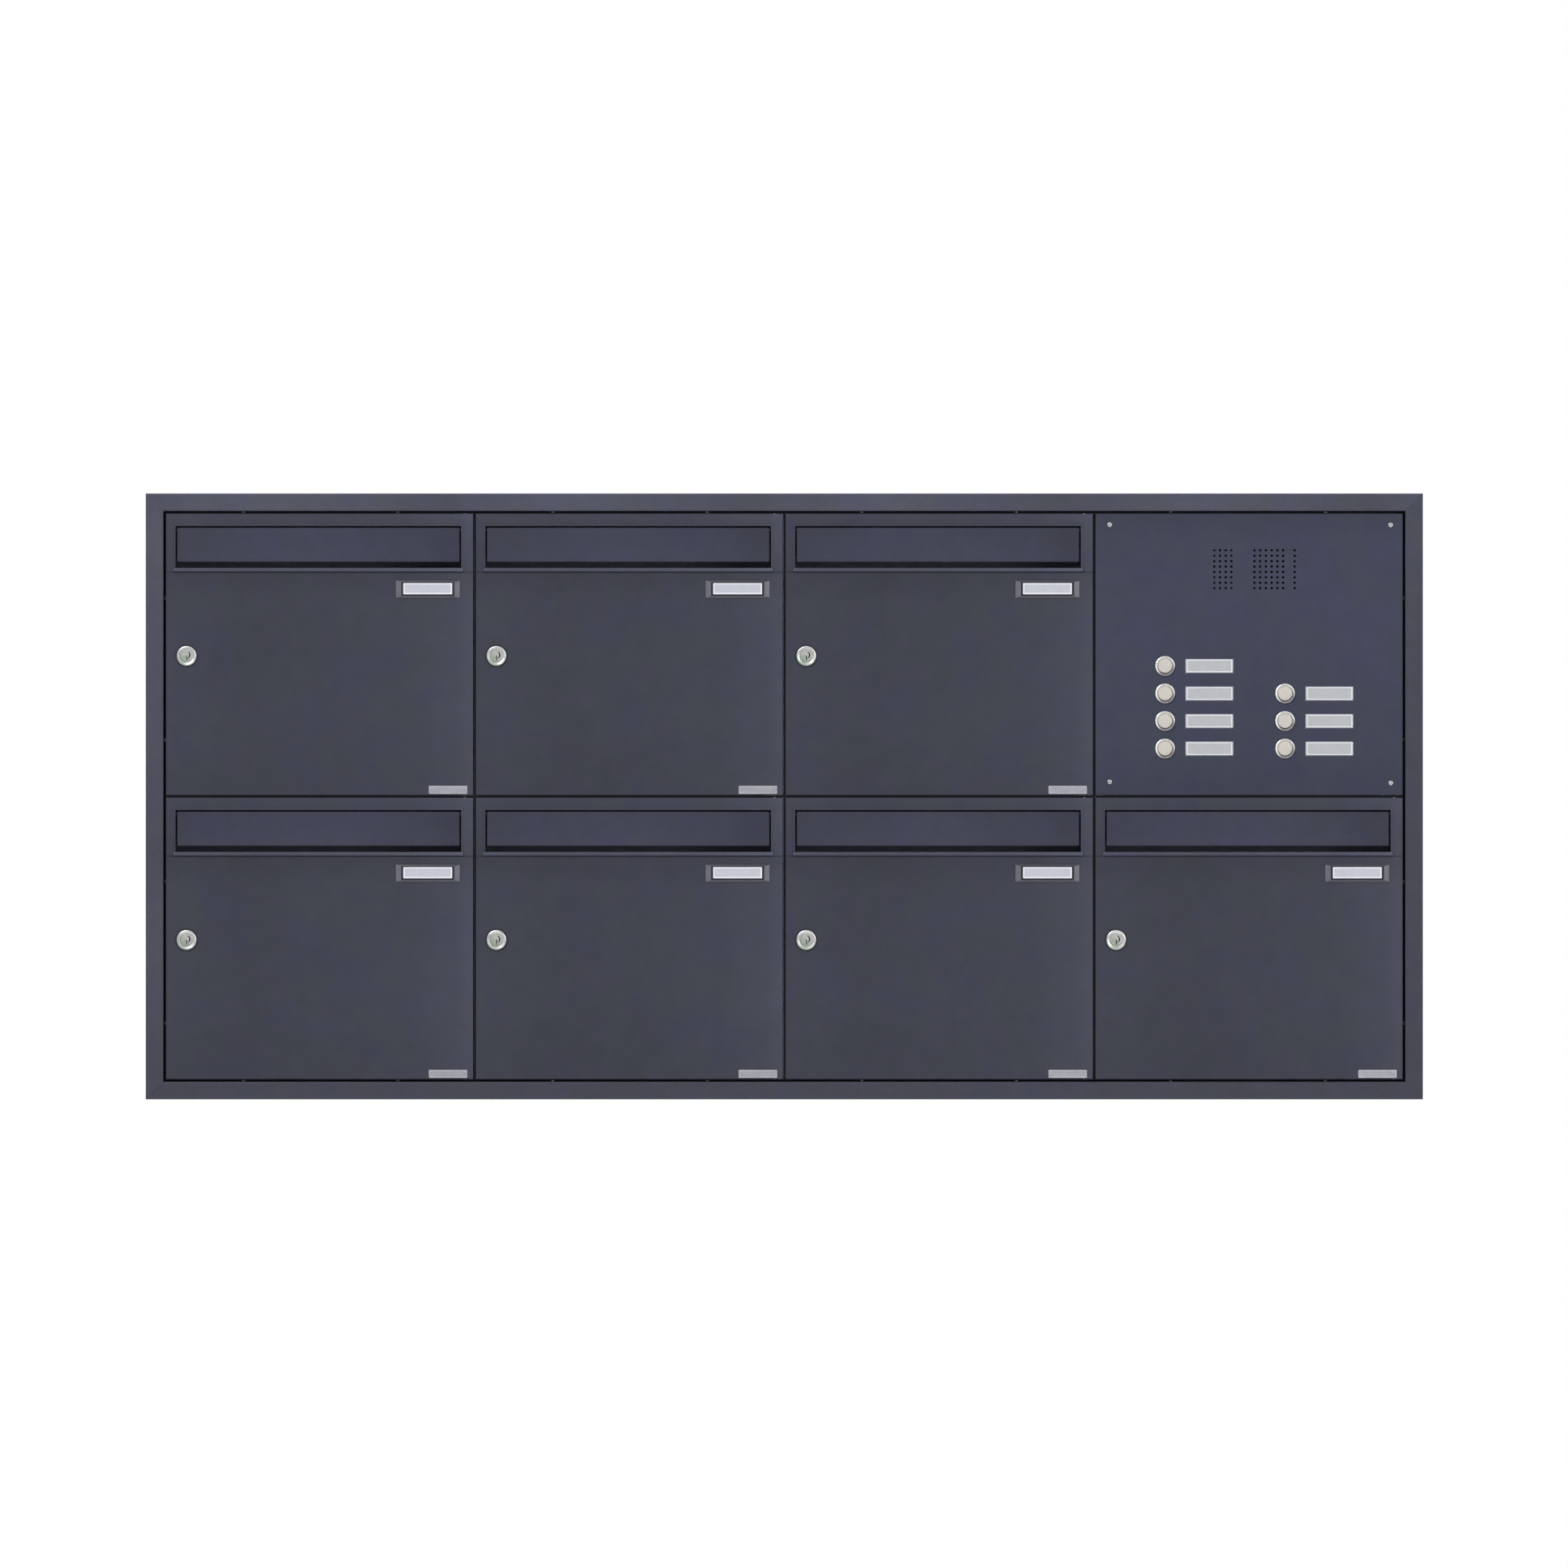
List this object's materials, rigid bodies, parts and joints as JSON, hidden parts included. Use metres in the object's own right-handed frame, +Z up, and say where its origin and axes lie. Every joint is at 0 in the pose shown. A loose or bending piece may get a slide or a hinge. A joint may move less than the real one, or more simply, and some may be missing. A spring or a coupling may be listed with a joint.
{
  "type": "cluster mailbox unit",
  "caption": "Flush-mounted bank of lockable mailboxes with letter flaps, and a bell and speech panel, inside a mitred surround frame.",
  "frame": {"origin": "centre of the four rear fixing holes, on the flat rear face of the boxes", "axes": "+X to the right as seen from the front, +Z up, +Y into the wall; the doors face -Y"},
  "size_m": [1.484, 0.104, 0.704],
  "materials": {
    "paint": "fine-textured matt anthracite powder coat",
    "paint_inner": "matt anthracite powder coat",
    "zinc_steel": "zinc plated",
    "nickel": "satin nickel plated",
    "smoked_plastic": "smoked clear plastic, bevelled",
    "label_window": "clear acrylic over a light grey card",
    "cream_plastic": "semi-gloss cream plastic",
    "black_plastic": "moulded",
    "circuit_board": "green circuit board with screw terminals",
    "rubber": "matt"
  },
  "bodies": {
    "root": {"surround_frame": "paint", "mailbox_shell_1": "paint_inner", "mailbox_shell_2": "paint_inner", "mailbox_shell_3": "paint_inner", "mailbox_shell_4": "paint_inner", "mailbox_shell_5": "paint_inner", "mailbox_shell_6": "paint_inner", "mailbox_shell_7": "paint_inner", "door_hinge_pins": "zinc_steel", "coupling_bolts": "zinc_steel", "intercom_back_box": "paint_inner", "intercom_panel": "paint", "panel_screws": "nickel", "bell_button_housings": "nickel", "bell_name_windows": "label_window", "speech_module": "black_plastic", "terminal_board": "circuit_board", "cable_grommet": "rubber"},
    "door_1": {"door_panel_1": "paint", "lock_barrel_1": "nickel", "name_plate_1": "smoked_plastic"},
    "flap_1": {"letter_flap_1": "paint"},
    "lock_1": {"lock_cylinder_1": "nickel"},
    "door_2": {"door_panel_2": "paint", "lock_barrel_2": "nickel", "name_plate_2": "smoked_plastic"},
    "flap_2": {"letter_flap_2": "paint"},
    "lock_2": {"lock_cylinder_2": "nickel"},
    "door_3": {"door_panel_3": "paint", "lock_barrel_3": "nickel", "name_plate_3": "smoked_plastic"},
    "flap_3": {"letter_flap_3": "paint"},
    "lock_3": {"lock_cylinder_3": "nickel"},
    "door_4": {"door_panel_4": "paint", "lock_barrel_4": "nickel", "name_plate_4": "smoked_plastic"},
    "flap_4": {"letter_flap_4": "paint"},
    "lock_4": {"lock_cylinder_4": "nickel"},
    "door_5": {"door_panel_5": "paint", "lock_barrel_5": "nickel", "name_plate_5": "smoked_plastic"},
    "flap_5": {"letter_flap_5": "paint"},
    "lock_5": {"lock_cylinder_5": "nickel"},
    "door_6": {"door_panel_6": "paint", "lock_barrel_6": "nickel", "name_plate_6": "smoked_plastic"},
    "flap_6": {"letter_flap_6": "paint"},
    "lock_6": {"lock_cylinder_6": "nickel"},
    "door_7": {"door_panel_7": "paint", "lock_barrel_7": "nickel", "name_plate_7": "smoked_plastic"},
    "flap_7": {"letter_flap_7": "paint"},
    "lock_7": {"lock_cylinder_7": "nickel"},
    "bell_button_1": {"bell_button_1": "cream_plastic"},
    "bell_button_2": {"bell_button_2": "cream_plastic"},
    "bell_button_3": {"bell_button_3": "cream_plastic"},
    "bell_button_4": {"bell_button_4": "cream_plastic"},
    "bell_button_5": {"bell_button_5": "cream_plastic"},
    "bell_button_6": {"bell_button_6": "cream_plastic"},
    "bell_button_7": {"bell_button_7": "cream_plastic"}
  },
  "joints": [
    {"name": "door_hinge_1", "type": "hinge", "parent": "root", "child": "door_1", "pos_m": [-0.3715, -0.094, 0.165], "axis": [0, 0, 1], "range_deg": [0, 85]},
    {"name": "flap_hinge_1", "type": "hinge", "parent": "door_1", "child": "flap_1", "pos_m": [-0.5414, -0.095, 0.3097], "axis": [-1, 0, 0], "range_deg": [0, 80]},
    {"name": "lock_turn_1", "type": "hinge", "parent": "door_1", "child": "lock_1", "pos_m": [-0.6945, -0.095, 0.1633], "axis": [0, 1, 0], "range_deg": [0, 90]},
    {"name": "door_hinge_2", "type": "hinge", "parent": "root", "child": "door_2", "pos_m": [-0.0115, -0.094, 0.165], "axis": [0, 0, 1], "range_deg": [0, 85]},
    {"name": "flap_hinge_2", "type": "hinge", "parent": "door_2", "child": "flap_2", "pos_m": [-0.1814, -0.095, 0.3097], "axis": [-1, 0, 0], "range_deg": [0, 80]},
    {"name": "lock_turn_2", "type": "hinge", "parent": "door_2", "child": "lock_2", "pos_m": [-0.3345, -0.095, 0.1633], "axis": [0, 1, 0], "range_deg": [0, 90]},
    {"name": "door_hinge_3", "type": "hinge", "parent": "root", "child": "door_3", "pos_m": [0.3485, -0.094, 0.165], "axis": [0, 0, 1], "range_deg": [0, 85]},
    {"name": "flap_hinge_3", "type": "hinge", "parent": "door_3", "child": "flap_3", "pos_m": [0.1786, -0.095, 0.3097], "axis": [-1, 0, 0], "range_deg": [0, 80]},
    {"name": "lock_turn_3", "type": "hinge", "parent": "door_3", "child": "lock_3", "pos_m": [0.0255, -0.095, 0.1633], "axis": [0, 1, 0], "range_deg": [0, 90]},
    {"name": "door_hinge_4", "type": "hinge", "parent": "root", "child": "door_4", "pos_m": [-0.3715, -0.094, -0.165], "axis": [0, 0, 1], "range_deg": [0, 85]},
    {"name": "flap_hinge_4", "type": "hinge", "parent": "door_4", "child": "flap_4", "pos_m": [-0.5414, -0.095, -0.0203], "axis": [-1, 0, 0], "range_deg": [0, 80]},
    {"name": "lock_turn_4", "type": "hinge", "parent": "door_4", "child": "lock_4", "pos_m": [-0.6945, -0.095, -0.1667], "axis": [0, 1, 0], "range_deg": [0, 90]},
    {"name": "door_hinge_5", "type": "hinge", "parent": "root", "child": "door_5", "pos_m": [-0.0115, -0.094, -0.165], "axis": [0, 0, 1], "range_deg": [0, 85]},
    {"name": "flap_hinge_5", "type": "hinge", "parent": "door_5", "child": "flap_5", "pos_m": [-0.1814, -0.095, -0.0203], "axis": [-1, 0, 0], "range_deg": [0, 80]},
    {"name": "lock_turn_5", "type": "hinge", "parent": "door_5", "child": "lock_5", "pos_m": [-0.3345, -0.095, -0.1667], "axis": [0, 1, 0], "range_deg": [0, 90]},
    {"name": "door_hinge_6", "type": "hinge", "parent": "root", "child": "door_6", "pos_m": [0.3485, -0.094, -0.165], "axis": [0, 0, 1], "range_deg": [0, 85]},
    {"name": "flap_hinge_6", "type": "hinge", "parent": "door_6", "child": "flap_6", "pos_m": [0.1786, -0.095, -0.0203], "axis": [-1, 0, 0], "range_deg": [0, 80]},
    {"name": "lock_turn_6", "type": "hinge", "parent": "door_6", "child": "lock_6", "pos_m": [0.0255, -0.095, -0.1667], "axis": [0, 1, 0], "range_deg": [0, 90]},
    {"name": "door_hinge_7", "type": "hinge", "parent": "root", "child": "door_7", "pos_m": [0.7085, -0.094, -0.165], "axis": [0, 0, 1], "range_deg": [0, 85]},
    {"name": "flap_hinge_7", "type": "hinge", "parent": "door_7", "child": "flap_7", "pos_m": [0.5386, -0.095, -0.0203], "axis": [-1, 0, 0], "range_deg": [0, 80]},
    {"name": "lock_turn_7", "type": "hinge", "parent": "door_7", "child": "lock_7", "pos_m": [0.3855, -0.095, -0.1667], "axis": [0, 1, 0], "range_deg": [0, 90]},
    {"name": "bell_press_1", "type": "slide", "parent": "root", "child": "bell_button_1", "axis": [0, 1, 0], "range_m": [0, 0.0015], "stiffness_N_per_m": 300, "springref_m": -0.003},
    {"name": "bell_press_2", "type": "slide", "parent": "root", "child": "bell_button_2", "axis": [0, 1, 0], "range_m": [0, 0.0015], "stiffness_N_per_m": 300, "springref_m": -0.003},
    {"name": "bell_press_3", "type": "slide", "parent": "root", "child": "bell_button_3", "axis": [0, 1, 0], "range_m": [0, 0.0015], "stiffness_N_per_m": 300, "springref_m": -0.003},
    {"name": "bell_press_4", "type": "slide", "parent": "root", "child": "bell_button_4", "axis": [0, 1, 0], "range_m": [0, 0.0015], "stiffness_N_per_m": 300, "springref_m": -0.003},
    {"name": "bell_press_5", "type": "slide", "parent": "root", "child": "bell_button_5", "axis": [0, 1, 0], "range_m": [0, 0.0015], "stiffness_N_per_m": 300, "springref_m": -0.003},
    {"name": "bell_press_6", "type": "slide", "parent": "root", "child": "bell_button_6", "axis": [0, 1, 0], "range_m": [0, 0.0015], "stiffness_N_per_m": 300, "springref_m": -0.003},
    {"name": "bell_press_7", "type": "slide", "parent": "root", "child": "bell_button_7", "axis": [0, 1, 0], "range_m": [0, 0.0015], "stiffness_N_per_m": 300, "springref_m": -0.003}
  ]
}
